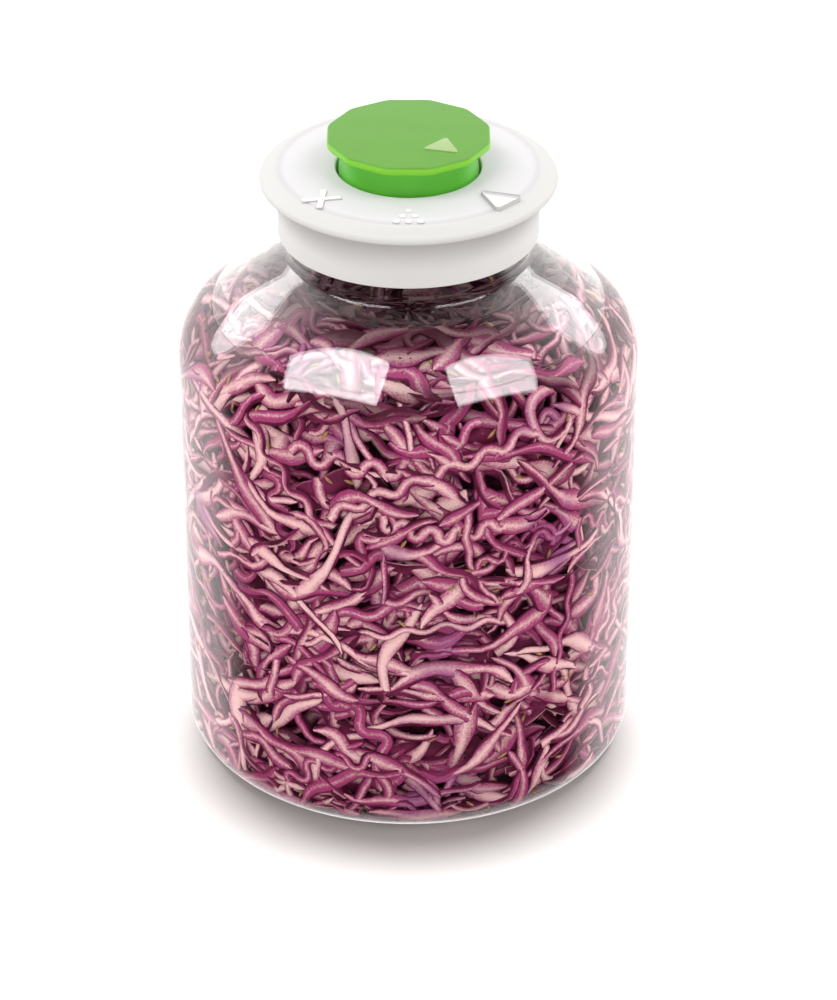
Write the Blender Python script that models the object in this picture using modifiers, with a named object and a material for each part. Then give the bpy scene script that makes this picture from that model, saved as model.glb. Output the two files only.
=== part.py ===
# Fermentation jar: a wide glass jar of shredded red cabbage under a white screw lid
# with a broad flange, and a green twelve-sided valve knob that turns in the lid.
# Metres, +Z up. The origin is the centre of the base, on the surface the jar stands on.
import math
import random

import bmesh
import bpy
from mathutils import Matrix, Vector

MM = 0.001

# Glass
BODY_R = 87.5 * MM
WALL = 3.3 * MM
FLOOR = 6.0 * MM
HEEL_R = 12.5 * MM
PUSH_UP = 1.2 * MM
FOOT_R = 62.0 * MM
SHOULDER_Z = 164.8 * MM
SHOULDER_R = 25.0 * MM
CONE_DEG = 36.0
NECK_R = 45.3 * MM
NECK_FILLET = 4.0 * MM
RIM_Z = 235.0 * MM
RIM_ROUND = 1.4 * MM
GLASS_STEPS = 40

# Lid
COLLAR_R = 49.0 * MM
COLLAR_WALL = 2.6 * MM
COLLAR_Z = 216.0 * MM
FLANGE_R = 55.5 * MM
PLATE_TOP = 242.5 * MM
PLATE_UNDER = 235.4 * MM
FLANGE_UNDER = 236.6 * MM
HOLE_R = 27.1 * MM
WELL_FLOOR = 230.2 * MM
WELL_SKIN = 2.2 * MM
LID_STEPS = 36

# Raised marks on the lid: a cross and a triangle, each this far round from six dots
MARK_RISE = 0.6 * MM
MARK_SINK = 0.8 * MM
MARK_SPREAD = 47.5
DOTS_DEG = -90.0
CROSS_DEG, ARROW_DEG = DOTS_DEG - MARK_SPREAD, DOTS_DEG + MARK_SPREAD
CROSS_AT, CROSS_SPAN, CROSS_WIDTH = 43.1 * MM, 14.8 * MM, 2.4 * MM
CROSS_FACING, CROSS_OPEN = -132.5, 74.0
DOT_R, DOT_PITCH, DOT_FIRST, DOT_ROW = 1.5 * MM, 4.4 * MM, 38.2 * MM, 4.3 * MM
DOT_TAPER = 0.62
ARROW_TIP, ARROW_BASE, ARROW_HALF = 35.2 * MM, 50.2 * MM, 7.2 * MM
ARROW_ROUND = 1.6 * MM

# Knob
KNOB_SIDES = 12
KNOB_FLAT = 30.2 * MM
KNOB_TOP = 255.5 * MM
KNOB_UNDER = 252.3 * MM
KNOB_CORNER = 1.8 * MM
KNOB_EDGE = 1.1 * MM
SKIRT_R = 26.1 * MM
WAIST_R = 25.0 * MM
KNOB_GAP = 0.3 * MM
KNOB_STEPS = 36
POINTER_DEG = ARROW_DEG
POINTER_TIP, POINTER_BASE, POINTER_HALF = 25.2 * MM, 12.8 * MM, 6.8 * MM
POINTER_ROUND = 1.2 * MM
POINTER_PROUD = 0.4 * MM
POCKET = 0.8 * MM
GAP = 0.3 * MM

# Cabbage
CLEAR = 0.5 * MM
CORE_DEPTH = 2.7 * MM
HEAP_EDGE_Z = 196.0 * MM
HEAP_DISH = 17.0 * MM
CORE_STEPS = 30
LUMP = 0.004
LUMPS_FROM = 12.0 * MM
SHREDS = 80
SHRED_THICK = 2.7 * MM
SEEDS = 16
SEED_LONG, SEED_WIDE = 5.0 * MM, 1.6 * MM
GOLDEN = math.pi * (3 - math.sqrt(5))
DRAW = random.Random(64)


def clear_scene():
    for item in list(bpy.data.objects):
        bpy.data.objects.remove(item)


def new_collection(name):
    made = bpy.data.collections.new(name)
    bpy.context.scene.collection.children.link(made)
    return made


def material(name, colour, roughness, transmission=0.0):
    made = bpy.data.materials.new(name)
    made.use_nodes = True
    shader = made.node_tree.nodes["Principled BSDF"]
    shader.inputs["Base Color"].default_value = (*colour, 1.0)
    shader.inputs["Roughness"].default_value = roughness
    shader.inputs["Metallic"].default_value = 0.0
    shader.inputs["Transmission Weight"].default_value = transmission
    return made


def object_from(name, mesh, collection, finish=None):
    made = bpy.data.objects.new(name, mesh)
    collection.objects.link(made)
    if finish:
        mesh.materials.append(finish)
    return made


def arc(centre_r, centre_z, radius, start_deg, end_deg, pieces):
    """Points of a round stretch of a profile, as (r, z)."""
    turn = (end_deg - start_deg) / pieces
    angles = [math.radians(start_deg + turn * i) for i in range(pieces + 1)]
    return [(centre_r + radius * math.cos(a), centre_z + radius * math.sin(a)) for a in angles]


def turned(name, profile, steps, collection, finish=None):
    """A profile of (r, z) points turned about the Z axis."""
    mesh = bpy.data.meshes.new(name)
    points = [(r, 0.0, z) for r, z in profile]
    mesh.from_pydata(points, [(i, i + 1) for i in range(len(points) - 1)], [])
    made = object_from(name, mesh, collection, finish)
    screw = made.modifiers.new("turn", "SCREW")
    screw.steps = screw.render_steps = steps
    screw.use_merge_vertices = True
    screw.merge_threshold = 0.00001
    return made


def flat_outline(name, points, low, high, collection):
    """A flat outline between two heights, as a mesh."""
    curve = bpy.data.curves.new(name, "CURVE")
    curve.dimensions = "2D"
    curve.fill_mode = "BOTH"
    curve.extrude = (high - low) / 2
    line = curve.splines.new("POLY")
    line.points.add(len(points) - 1)
    for spot, (x, y) in zip(line.points, points):
        spot.co = (x, y, 0.0, 1.0)
    line.use_cyclic_u = True
    helper = bpy.data.objects.new(name + "_curve", curve)
    bpy.context.scene.collection.objects.link(helper)
    helper.location.z = (low + high) / 2
    bpy.context.view_layer.update()
    graph = bpy.context.evaluated_depsgraph_get()
    mesh = bpy.data.meshes.new_from_object(helper.evaluated_get(graph))
    mesh.transform(helper.matrix_world)
    bpy.data.objects.remove(helper)
    weld(mesh)
    return object_from(name, mesh, collection)


def weld(mesh):
    work = bmesh.new()
    work.from_mesh(mesh)
    bmesh.ops.remove_doubles(work, verts=work.verts, dist=0.000005)
    work.to_mesh(mesh)
    work.free()


def baked(item):
    """Applies the object's modifiers, so that its mesh is the finished shape."""
    graph = bpy.context.evaluated_depsgraph_get()
    mesh = bpy.data.meshes.new_from_object(item.evaluated_get(graph))
    item.modifiers.clear()
    item.data = mesh
    return item


def fuse(base, collection, solver="EXACT"):
    """Joins the collection's objects to the base and removes them."""
    join = base.modifiers.new("fuse", "BOOLEAN")
    join.operation = "UNION"
    join.operand_type = "COLLECTION"
    join.collection = collection
    join.solver = solver
    baked(base)
    for item in list(collection.objects):
        bpy.data.objects.remove(item)
    bpy.data.collections.remove(collection)


def keep_largest(item):
    """Drops loose scraps and fills sealed hollows: only the largest shell stays."""
    work = bmesh.new()
    work.from_mesh(item.data)
    left = set(work.faces)
    shells = []
    while left:
        front = [left.pop()]
        shell = list(front)
        while front:
            for edge in front.pop().edges:
                for face in edge.link_faces:
                    if face in left:
                        left.discard(face)
                        shell.append(face)
                        front.append(face)
        shells.append(shell)
    shells.sort(key=len)
    for shell in shells[:-1]:
        bmesh.ops.delete(work, geom=shell, context="FACES")
    work.to_mesh(item.data)
    work.free()


def glass_outline(inset):
    """The jar's outer side from the rim down to the foot, moved in by inset."""
    tilt = 90.0 - CONE_DEG
    across, up = math.cos(math.radians(tilt)), math.sin(math.radians(tilt))
    tangent_r = BODY_R - SHOULDER_R + SHOULDER_R * across
    tangent_z = SHOULDER_Z + SHOULDER_R * up
    fillet_r = NECK_R + NECK_FILLET
    fillet_z = tangent_z + (NECK_FILLET - across * (fillet_r - tangent_r)) / up
    points = [(NECK_R - inset, RIM_Z - RIM_ROUND)]
    points += arc(fillet_r, fillet_z, NECK_FILLET + inset, 180.0, 180.0 + tilt, 3)
    points += arc(BODY_R - SHOULDER_R, SHOULDER_Z, SHOULDER_R - inset, tilt, 0.0, 5)
    heel_z = max(HEEL_R, inset + FLOOR)
    points += arc(BODY_R - HEEL_R, heel_z, HEEL_R - inset, 0.0, -90.0, 4)
    return points


def jar_inside():
    """The inner side from the middle of the floor up to the mouth."""
    side = glass_outline(WALL)
    lift = FLOOR - side[-1][1]
    heel = [(r, z + lift) for r, z in side[-5:]]
    return [(0.0, FLOOR)] + (side[:-5] + heel)[::-1]


def glass_jar(parts, finish):
    rim = arc(NECK_R - WALL + RIM_ROUND, RIM_Z - RIM_ROUND, RIM_ROUND, 180.0, 90.0, 2)
    rim += arc(NECK_R - RIM_ROUND, RIM_Z - RIM_ROUND, RIM_ROUND, 90.0, 0.0, 2)
    foot = [(FOOT_R, 0.0), (FOOT_R - 2 * PUSH_UP, PUSH_UP), (0.0, PUSH_UP)]
    profile = jar_inside()[:-1] + rim + glass_outline(0.0)[1:] + foot
    return turned("glass_jar", profile, GLASS_STEPS, parts, finish)


def lid_profile():
    """From the middle of the well's floor out over the plate and down the collar."""
    edge_r, edge_z = FLANGE_R - 1.2 * MM, FLANGE_UNDER + 1.4 * MM
    well = [(0.0, WELL_FLOOR), (HOLE_R, WELL_FLOOR), (HOLE_R, PLATE_TOP - 0.7 * MM)]
    plate = [
        (HOLE_R + 0.7 * MM, PLATE_TOP),
        (47.8 * MM, PLATE_TOP),
        (48.5 * MM, PLATE_TOP - 0.5 * MM),
        (49.6 * MM, PLATE_TOP - 0.3 * MM),
        (52.0 * MM, PLATE_TOP - 1.1 * MM),
    ]
    edge = arc(edge_r, edge_z, 1.3 * MM, 60.0, -90.0, 5)
    collar = [
        (COLLAR_R + 0.8 * MM, FLANGE_UNDER - 0.3 * MM),
        (COLLAR_R, FLANGE_UNDER - 1.2 * MM),
        (COLLAR_R, COLLAR_Z + 0.6 * MM),
        (COLLAR_R - 0.6 * MM, COLLAR_Z),
        (COLLAR_R - COLLAR_WALL, COLLAR_Z),
        (COLLAR_R - COLLAR_WALL, PLATE_UNDER),
    ]
    outer_well = HOLE_R + WELL_SKIN
    under = [
        (outer_well, PLATE_UNDER),
        (outer_well, WELL_FLOOR - WELL_SKIN),
        (0.0, WELL_FLOOR - WELL_SKIN),
    ]
    return well + plate + edge + collar + under


def polar(radius, degrees, side=0.0):
    """A point at this radius and angle, moved sideways from that radius line."""
    a = math.radians(degrees)
    x = radius * math.cos(a) - side * math.sin(a)
    y = radius * math.sin(a) + side * math.cos(a)
    return x, y


def rounded(corners, radius, pieces=3):
    """A polygon, given anticlockwise, with each corner replaced by an arc."""
    points = []
    count = len(corners)
    for i in range(count):
        before, at, after = (Vector(corners[(i + k) % count]) for k in (-1, 0, 1))
        back, on = (before - at).normalized(), (after - at).normalized()
        half = back.angle(on) / 2
        centre = at + (back + on).normalized() * (radius / math.sin(half))
        start = at + back * (radius / math.tan(half)) - centre
        sweep = math.pi - 2 * half
        for k in range(pieces + 1):
            points.append(centre + Matrix.Rotation(sweep * k / pieces, 2) @ start)
    return [(p.x, p.y) for p in points]


def bar(middle, length, width, degrees):
    """The corners of a bar, anticlockwise."""
    a = math.radians(degrees)
    along = Vector((math.cos(a), math.sin(a))) * length / 2
    across = Vector((-math.sin(a), math.cos(a))) * width / 2
    at = Vector(middle)
    corners = (at - along - across, at + along - across, at + along + across, at - along + across)
    return [tuple(c) for c in corners]


def arrow_corners(tip, base, half, degrees):
    """A triangle on a radius line, anticlockwise: its tip and the two base corners."""
    if tip > base:
        return [polar(tip, degrees), polar(base, degrees, half), polar(base, degrees, -half)]
    return [polar(tip, degrees), polar(base, degrees, -half), polar(base, degrees, half)]


def add_marks(collection):
    low, high = PLATE_TOP - MARK_SINK, PLATE_TOP + MARK_RISE
    middle = polar(CROSS_AT, CROSS_DEG)
    # The second bar is a hair lower, so that the two tops never lie in one plane.
    for number, lower in enumerate((0.0, 0.02 * MM)):
        turn = CROSS_FACING + CROSS_OPEN * (number - 0.5)
        outline = rounded(bar(middle, CROSS_SPAN, CROSS_WIDTH, turn), CROSS_WIDTH / 3, 2)
        flat_outline(f"cross_{number}", outline, low - lower, high - lower, collection)
    for row in range(3):
        for k in range(row + 1):
            side = (k - row / 2) * DOT_PITCH
            x, y = polar(DOT_FIRST + row * DOT_ROW, DOTS_DEG, side)
            bpy.ops.mesh.primitive_cone_add(
                vertices=10,
                radius1=DOT_R,
                radius2=DOT_R * DOT_TAPER,
                depth=high - low,
                location=(x, y, (low + high) / 2),
            )
            dot = bpy.context.object
            dot.name = f"dot_{row}_{k}"
            for owner in list(dot.users_collection):
                owner.objects.unlink(dot)
            collection.objects.link(dot)
    corners = arrow_corners(ARROW_TIP, ARROW_BASE, ARROW_HALF, ARROW_DEG)
    flat_outline("lid_arrow", rounded(corners, ARROW_ROUND), low, high, collection)


def lid(parts, finish):
    made = baked(turned("lid", lid_profile(), LID_STEPS, parts, finish))
    marks = new_collection("marks")
    add_marks(marks)
    bpy.context.view_layer.update()
    fuse(made, marks)
    return made


def knob_head(collection):
    """A twelve-sided plate with rounded corners and edges, a flat side facing forward."""
    corner_r = KNOB_FLAT / math.cos(math.pi / KNOB_SIDES)
    work = bmesh.new()
    bmesh.ops.create_cone(
        work,
        cap_ends=True,
        segments=KNOB_SIDES,
        radius1=corner_r,
        radius2=corner_r,
        depth=KNOB_TOP - KNOB_UNDER,
        matrix=Matrix.Translation((0, 0, (KNOB_TOP + KNOB_UNDER) / 2))
        @ Matrix.Rotation(math.pi / KNOB_SIDES, 4, "Z"),
    )
    upright = [e for e in work.edges if abs(e.verts[0].co.z - e.verts[1].co.z) > MM]
    bmesh.ops.bevel(
        work, geom=upright, offset=KNOB_CORNER, segments=2, profile=0.5, affect="EDGES"
    )
    level = [
        e
        for e in work.edges
        if abs(e.verts[0].co.z - e.verts[1].co.z) < 0.01 * MM
        and e.calc_face_angle(0.0) > math.radians(60)
    ]
    bmesh.ops.bevel(
        work, geom=level, offset=KNOB_EDGE, segments=2, profile=0.5, affect="EDGES"
    )
    mesh = bpy.data.meshes.new("knob_head")
    work.to_mesh(mesh)
    work.free()
    return object_from("knob_head", mesh, collection)


def knob(parts, cutters, finish):
    """The skirt is turned, and the head is joined to it. A pocket takes the pointer."""
    buried = KNOB_TOP - 1.5 * MM
    profile = [
        (0.0, buried),
        (WAIST_R + 1.0 * MM, buried),
        (WAIST_R + 1.0 * MM, KNOB_UNDER - 0.2 * MM),
        (WAIST_R + 0.2 * MM, KNOB_UNDER - 1.2 * MM),
        (WAIST_R, KNOB_UNDER - 3.0 * MM),
        (WAIST_R + 0.4 * MM, KNOB_UNDER - 5.5 * MM),
        (SKIRT_R, PLATE_TOP - 0.5 * MM),
        (SKIRT_R, WELL_FLOOR + KNOB_GAP),
        (0.0, WELL_FLOOR + KNOB_GAP),
    ]
    made = baked(turned("knob", profile, KNOB_STEPS, parts, finish))
    heads = new_collection("heads")
    knob_head(heads)
    bpy.context.view_layer.update()
    fuse(made, heads)
    corners = arrow_corners(
        POINTER_TIP + 2 * GAP, POINTER_BASE - GAP, POINTER_HALF + 2 * GAP, POINTER_DEG
    )
    outline = rounded(corners, POINTER_ROUND + GAP)
    cutter = flat_outline("pocket", outline, KNOB_TOP - POCKET, KNOB_TOP + 2 * MM, cutters)
    cutter.hide_render = True
    cutter.display_type = "WIRE"
    cut = made.modifiers.new("pocket", "BOOLEAN")
    cut.operation = "DIFFERENCE"
    cut.object = cutter
    return made


def pointer(parts, finish):
    """The pale triangle set in the knob, its tip towards the lid's marks."""
    corners = arrow_corners(POINTER_TIP, POINTER_BASE, POINTER_HALF, POINTER_DEG)
    outline = rounded(corners, POINTER_ROUND)
    made = flat_outline(
        "pointer", outline, KNOB_TOP - POCKET + GAP, KNOB_TOP + POINTER_PROUD, parts
    )
    made.data.materials.append(finish)
    return made


class Envelope:
    """The skin that the heap fills: up the glass, over the shoulder and across the top."""

    def __init__(self, depth):
        inside = [(r, z) for r, z in jar_inside() if z < HEAP_EDGE_Z]
        below, above = Vector(inside[-1]), Vector(jar_inside()[len(inside)])
        inside.append(tuple(below.lerp(above, (HEAP_EDGE_Z - below.y) / (above.y - below.y))))
        self.points = self.moved_in(inside, depth)
        edge_r, edge_z = self.points[-1]
        for share in (0.66, 0.33, 0.0):
            sag = HEAP_DISH * (1 - share * share)
            self.points.append((edge_r * share, edge_z - sag))
        self.lengths = [0.0]
        self.areas = [0.0]
        for a, b in zip(self.points, self.points[1:]):
            self.lengths.append(self.lengths[-1] + math.dist(a, b))
            self.areas.append(self.areas[-1] + math.dist(a, b) * (a[0] + b[0]))

    @staticmethod
    def moved_in(points, depth):
        """Each point moved along the mean of its two sides' normals."""
        moved = [(0.0, points[0][1] + depth)]
        for before, at, after in zip(points, points[1:], points[2:] + points[-1:]):
            run = Vector(after) - Vector(before)
            run.normalize()
            moved.append((at[0] - run.y * depth, at[1] + run.x * depth))
        return moved

    def at(self, run):
        """(r, z) at this distance along the skin from the middle of the floor."""
        run = min(max(run, 0.0), self.lengths[-1] - 0.01 * MM)
        i = max(k for k, start in enumerate(self.lengths) if start <= run)
        share = (run - self.lengths[i]) / (self.lengths[i + 1] - self.lengths[i])
        a, b = Vector(self.points[i]), Vector(self.points[i + 1])
        return a.lerp(b, share)

    def run_of(self, share):
        """How far along the skin this share of the area above the floor is reached."""
        floor = next(i for i, (r, z) in enumerate(self.points) if r > BODY_R - HEEL_R)
        area = self.areas[floor] + share * (self.areas[-1] - self.areas[floor])
        i = max(k for k, start in enumerate(self.areas[:-1]) if start <= area)
        part = (area - self.areas[i]) / (self.areas[i + 1] - self.areas[i])
        return self.lengths[i] + part * (self.lengths[i + 1] - self.lengths[i])

    def spot(self, run, angle, depth):
        """A point of space under the skin by depth."""
        at = self.at(run)
        slope = self.at(run + 2 * MM) - self.at(run - 2 * MM)
        slope.normalize()
        r = max(at.x - slope.y * depth, 0.0)
        z = at.y + slope.x * depth
        return Vector((r * math.cos(angle), r * math.sin(angle), z))


def heap_core(parts, finish):
    """The packed middle of the heap, slightly lumpy."""
    core = Envelope(CLEAR + CORE_DEPTH)
    made = baked(turned("cabbage", core.points[::-1], CORE_STEPS, parts, finish))
    for vert in made.data.vertices:
        x, y, z = vert.co
        angle = math.atan2(y, x)
        lump = math.sin(5 * angle + 70 * z) + math.sin(9 * angle - 110 * z + 1.3)
        if z > LUMPS_FROM:
            vert.co.x *= 1 + LUMP * lump
            vert.co.y *= 1 + LUMP * lump
    return made


def shred(name, skin, start_run, start_angle, collection):
    """A strip that wanders over the heap, its two ends tucked into the core."""
    length = DRAW.uniform(36, 78) * MM
    width = DRAW.choice((3.8, 4.6, 5.4, 6.4, 8.6)) * MM
    steps = max(3, round(length / (15 * MM)))
    heading = DRAW.uniform(0, 2 * math.pi)
    bend = DRAW.uniform(-26, 26)
    wave = DRAW.uniform(0.15, 0.55)
    phase = DRAW.uniform(0, 2 * math.pi)
    layer = DRAW.uniform(0.0, 1.3) * MM
    bpy.ops.mesh.primitive_grid_add(x_subdivisions=steps, y_subdivisions=1, size=1.0)
    made = bpy.context.object
    made.name = name
    line = []
    run, angle = start_run, start_angle
    for i in range(steps + 1):
        way = heading + bend * i * length / steps + wave * math.sin(1.7 * i + phase)
        line.append((run, angle, way))
        run += math.sin(way) * length / steps
        angle += math.cos(way) * length / steps / max(skin.at(run).x, 12 * MM)
    for vert in made.data.vertices:
        i = round((vert.co.x + 0.5) * steps)
        run, angle, way = line[i]
        share = i / steps
        swell = 0.62 + 0.38 * math.sin(math.pi * share) + 0.1 * math.sin(2.3 * i + phase)
        side = math.copysign(width / 2 * swell, vert.co.y)
        at_run = run + math.cos(way) * side
        at_angle = angle - math.sin(way) * side / max(skin.at(run).x, 12 * MM)
        tuck = 1.2 * MM * (2 * share - 1) ** 4
        vert.co = skin.spot(at_run, at_angle, CLEAR + layer + tuck)
    thick = made.modifiers.new("thick", "SOLIDIFY")
    thick.thickness = SHRED_THICK
    thick.offset = 1.0
    outward = Vector((0, 0, 0))
    for face in made.data.polygons:
        outward += face.normal
    out = made.data.vertices[len(made.data.vertices) // 2].co - Vector((0, 0, 100 * MM))
    if outward.dot(out) > 0:
        thick.offset = -1.0
    for owner in list(made.users_collection):
        owner.objects.unlink(made)
    collection.objects.link(made)
    return made


def seed(name, skin, run, angle, collection):
    """A caraway seed lying on the heap."""
    work = bmesh.new()
    bmesh.ops.create_uvsphere(work, u_segments=5, v_segments=4, radius=0.5)
    spot = skin.spot(run, angle, CLEAR + 2.3 * MM)
    out = (skin.spot(run, angle, 0.0) - spot).normalized()
    turn = DRAW.uniform(0, math.pi)
    frame = out.to_track_quat("Z", "Y").to_matrix().to_4x4()
    size = Matrix.Diagonal((SEED_LONG, SEED_WIDE, 2 * SEED_WIDE, 1.0))
    bmesh.ops.transform(
        work,
        matrix=Matrix.Translation(spot) @ frame @ Matrix.Rotation(turn, 4, "Z") @ size,
        verts=work.verts,
    )
    mesh = bpy.data.meshes.new(name)
    work.to_mesh(mesh)
    work.free()
    return object_from(name, mesh, collection)


def cabbage(parts, finish):
    """The core with its shreds and seeds fused on, spread evenly by the golden angle."""
    made = heap_core(parts, finish)
    skin = Envelope(0.0)
    pieces = new_collection("shreds")
    for i in range(SHREDS):
        shred(f"shred_{i}", skin, skin.run_of((i + 0.5) / SHREDS), i * GOLDEN, pieces)
    for i in range(SEEDS):
        seed(f"seed_{i}", skin, skin.run_of((i + 0.5) / SEEDS), 1.0 + i * GOLDEN, pieces)
    bpy.context.view_layer.update()
    fuse(made, pieces, "MANIFOLD")
    keep_largest(made)
    return made


def main():
    clear_scene()
    parts = new_collection("fermentation_jar")
    cutters = new_collection("cutters")
    clear = material("clear_glass", (0.96, 0.98, 0.97), 0.03, 1.0)
    white = material("white_plastic", (0.86, 0.85, 0.85), 0.42)
    green = material("green_plastic", (0.16, 0.52, 0.06), 0.4)
    pale = material("pale_green_plastic", (0.62, 0.80, 0.42), 0.35)
    purple = material("red_cabbage", (0.42, 0.08, 0.22), 0.5)
    jar = glass_jar(parts, clear)
    cap = lid(parts, white)
    dial = knob(parts, cutters, green)
    pointer(parts, pale)
    heap = cabbage(parts, purple)
    for item in (jar, cap, dial, heap):
        item.data.shade_smooth()
        item.data.set_sharp_from_angle(angle=math.radians(32))


main()
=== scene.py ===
# %% [markdown]
# A glass fermentation jar packed with shredded red cabbage
#
# The jar stands on a white studio floor. Through its wall one sees thousands of
# shreds: strips of leaf whose cut sides are pale and whose skins are dark magenta.
# A white lid with a broad flange closes the jar, and a green knob turns in the lid.
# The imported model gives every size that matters, so it is loaded first.

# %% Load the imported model
import math

import bpy
import numpy as np
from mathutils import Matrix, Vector


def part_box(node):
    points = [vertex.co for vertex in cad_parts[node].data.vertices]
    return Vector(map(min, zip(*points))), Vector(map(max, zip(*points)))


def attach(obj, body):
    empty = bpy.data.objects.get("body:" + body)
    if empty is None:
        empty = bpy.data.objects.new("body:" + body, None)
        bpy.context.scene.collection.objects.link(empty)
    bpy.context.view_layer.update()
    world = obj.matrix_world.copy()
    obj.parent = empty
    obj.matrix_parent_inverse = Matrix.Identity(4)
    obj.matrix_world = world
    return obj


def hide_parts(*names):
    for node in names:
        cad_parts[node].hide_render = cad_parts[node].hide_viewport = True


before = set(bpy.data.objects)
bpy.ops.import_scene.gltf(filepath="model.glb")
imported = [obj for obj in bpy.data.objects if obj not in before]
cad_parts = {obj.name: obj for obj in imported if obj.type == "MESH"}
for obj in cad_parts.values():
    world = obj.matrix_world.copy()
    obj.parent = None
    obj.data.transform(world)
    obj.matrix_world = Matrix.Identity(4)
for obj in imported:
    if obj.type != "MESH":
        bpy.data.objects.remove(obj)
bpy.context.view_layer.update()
MM = 0.001

# %% Sizes read from the frame
BODY_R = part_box("glass_jar")[1].x
MOUTH_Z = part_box("glass_jar")[1].z
FLANGE_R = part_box("lid")[1].x
KNOB_FLAT = -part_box("knob")[0].y
KNOB_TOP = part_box("knob")[1].z
POINTER_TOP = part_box("pointer")[1].z
print("body radius", round(BODY_R / MM, 1), "flange radius", round(FLANGE_R / MM, 1))

# %% [markdown]
# The camera
#
# The photographer looked down on the jar by about thirty degrees from a step away,
# with a long lens. The camera was worked out from the ellipses of the two rims and
# from the sides, so the render's outline can be laid over the picture. The picture
# is 837 by 1000, and the lens is given for its long side.

# %% Camera at the photograph's viewing angle
CAMERA_DISTANCE = 1.6
CAMERA_DEG = 30.42
AIM_HEIGHT = 0.0982
LENS = 148.0
AXIS_SHIFT = 0.0099

camera = bpy.data.objects.new("camera", bpy.data.cameras.new("camera"))
bpy.context.scene.collection.objects.link(camera)
tilt = math.radians(CAMERA_DEG)
camera.location = (
    0,
    -CAMERA_DISTANCE * math.cos(tilt),
    AIM_HEIGHT + CAMERA_DISTANCE * math.sin(tilt),
)
camera.rotation_euler = (math.pi / 2 - tilt, 0, 0)
camera.data.lens = LENS
camera.data.shift_x = AXIS_SHIFT
camera.data.clip_start = 0.05
bpy.context.scene.camera = camera
print("camera height", round(camera.location.z, 3), "m")

# %% [markdown]
# Light
#
# The jar was lit on white paper under two overhead soft boxes, whose reflections
# are the two pale patches low on the cone. Two panels behind it whiten the shoulders.
# The paper and the white walls light it from all round. In front, towards the camera, the studio is
# dark: that is one reason why the gaps between the shreds stay nearly black, while the sides of the
# glass are milky; the other is the painted shade of the shreds and of the dark core. The world
# stands for the walls: what a glossy surface mirrors is dark in front and white behind, and all else
# sees it even. The light comes from the world and the lamps alone, and the imported part carries
# none; but shade and light are also painted into the colours of the cabbage, the lid, its marks and
# the knob.

# %% World and lamps
WORLD_LIGHT, WORLD_COLOUR = 0.74, (1.0, 0.985, 0.965)
MIRRORED_DARK, MIRRORED_WHITE = 0.01, 1.5
MIRROR_FROM, MIRROR_TO = 0.0, 0.45
BOX_HEIGHT = 1.19
# Each soft box has a name, a middle, a size, a slant in degrees and a radiance.
SOFT_BOXES = (
    ("box_left", (-0.552, -0.196), (0.83, 0.24), -26.5, 8.0),
    ("box_right", (0.636, -0.191), (0.76, 0.24), 29.4, 7.0),
)
BACK_PANEL, PANEL_SIZE, SHOULDER_AIM = (1.03, 0.86, 0.88), 0.5, 0.19
# The left and the right panel, each with its side and its radiance.
PANELS = ((-1, 3.8), (1, 3.6))


def link(tree, output, target):
    tree.links.new(output, target)


def studio_world():
    """Even white light. What gloss mirrors is dark in front and white behind."""
    world = bpy.data.worlds.new("studio")
    bpy.context.scene.world = world
    world.use_nodes = True
    tree = world.node_tree
    back = tree.nodes["Background"]
    place = tree.nodes.new("ShaderNodeTexCoord")
    parts = tree.nodes.new("ShaderNodeSeparateXYZ")
    ramp = tree.nodes.new("ShaderNodeMapRange")
    ramp.interpolation_type = "SMOOTHSTEP"
    ramp.inputs["From Min"].default_value = MIRROR_FROM
    ramp.inputs["From Max"].default_value = MIRROR_TO
    ramp.inputs["To Min"].default_value = MIRRORED_DARK
    ramp.inputs["To Max"].default_value = MIRRORED_WHITE
    ray = tree.nodes.new("ShaderNodeLightPath")
    # A Mix node has its share at socket 0, its numbers at 2 and 3, its colours at 6 and 7.
    choose = tree.nodes.new("ShaderNodeMix")
    choose.inputs[2].default_value = WORLD_LIGHT
    link(tree, place.outputs["Generated"], parts.inputs[0])
    link(tree, parts.outputs["Y"], ramp.inputs["Value"])
    link(tree, ray.outputs["Is Glossy Ray"], choose.inputs[0])
    link(tree, ramp.outputs["Result"], choose.inputs[3])
    link(tree, choose.outputs[0], back.inputs["Strength"])
    back.inputs["Color"].default_value = (*WORLD_COLOUR, 1)


def panel(name, place, size, radiance):
    """A flat lamp that looks straight down until it is turned."""
    lamp = bpy.data.objects.new(name, bpy.data.lights.new(name, "AREA"))
    bpy.context.scene.collection.objects.link(lamp)
    lamp.data.shape = "RECTANGLE"
    lamp.data.size, lamp.data.size_y = size
    lamp.data.energy = radiance * math.pi * size[0] * size[1]
    lamp.location = place
    return lamp


def soft_box(name, middle, size, slant_deg, radiance):
    """A long lamp under the ceiling, seen as a pale patch in the glass."""
    lamp = panel(name, (*middle, BOX_HEIGHT), size, radiance)
    lamp.rotation_euler.z = math.radians(slant_deg)


def all_but(made, lamps):
    """Keeps these lamps off one object, with a collection that excludes it."""
    others = bpy.data.collections.new("all_but_" + made.name)
    others.objects.link(made)
    others.collection_objects[0].light_linking.link_state = "EXCLUDE"
    for lamp in lamps:
        lamp.light_linking.receiver_collection = others


studio_world()
for box in SOFT_BOXES:
    soft_box(*box)
for side, radiance in PANELS:
    place = Vector((side * BACK_PANEL[0], BACK_PANEL[1], BACK_PANEL[2]))
    lamp = panel("panel_back", place, (PANEL_SIZE, PANEL_SIZE), radiance)
    aim = Vector((0, 0, SHOULDER_AIM)) - place
    lamp.rotation_euler = aim.to_track_quat("-Z", "Y").to_euler()
bpy.context.scene.view_settings.view_transform = "Standard"

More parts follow.
